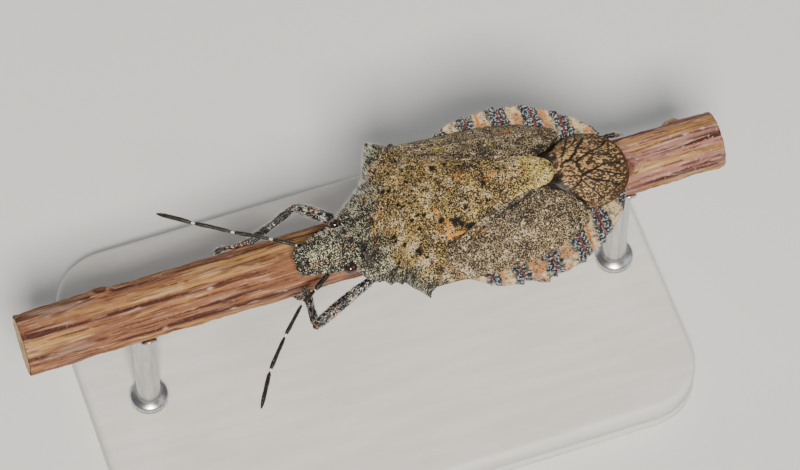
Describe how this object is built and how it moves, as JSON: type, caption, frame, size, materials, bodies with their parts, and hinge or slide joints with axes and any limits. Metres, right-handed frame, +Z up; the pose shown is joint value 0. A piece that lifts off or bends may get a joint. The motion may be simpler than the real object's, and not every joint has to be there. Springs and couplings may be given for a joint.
{
  "type": "shield bug model",
  "caption": "Life-size still model of a rough-backed shield bug gripping a cut length of twig on a small display stand.",
  "frame": {"origin": "middle of the underside of the stand's base, under the middle of the twig", "axes": "+X along the twig from the bug's head towards its tail, +Y to the bug's right, +Z up"},
  "size_m": [0.036, 0.018, 0.0168],
  "materials": {
    "head_cuticle": "matte, densely pitted, speckled greenish white and black",
    "eye": "glossy dark brown",
    "limb_cuticle": "satin black, speckled and banded, with short pale hairs",
    "underside_cuticle": "matte tan, pitted",
    "back_cuticle": "matte, bark-like, golden brown with dense cream and black speckle",
    "corium": "matte grey-brown with fine pale speckle",
    "membrane": "thin satin membrane, tan with dark flecks and veins",
    "abdomen_cuticle": "matte, rim banded cream, blue-black and orange",
    "bark": "rough thin bark, pinkish brown with lengthwise streaks",
    "stand_paint": "satin pale grey paint",
    "stand_steel": "fine brushed"
  },
  "bodies": {
    "root": {"head": "head_cuticle", "eye_left": "eye", "eye_right": "eye", "antenna_left": "limb_cuticle", "antenna_right": "limb_cuticle", "beak": "underside_cuticle", "pronotum": "back_cuticle", "scutellum": "back_cuticle", "corium_left": "corium", "corium_right": "corium", "membrane_left": "membrane", "membrane_right": "membrane", "thorax": "underside_cuticle", "abdomen": "abdomen_cuticle", "leg_front_left": "limb_cuticle", "leg_front_right": "limb_cuticle", "leg_mid_left": "limb_cuticle", "leg_mid_right": "limb_cuticle", "leg_hind_left": "limb_cuticle", "leg_hind_right": "limb_cuticle", "perch_twig": "bark", "stand_base": "stand_paint", "stand_rod_front": "stand_steel", "stand_rod_rear": "stand_steel"}
  },
  "joints": []
}
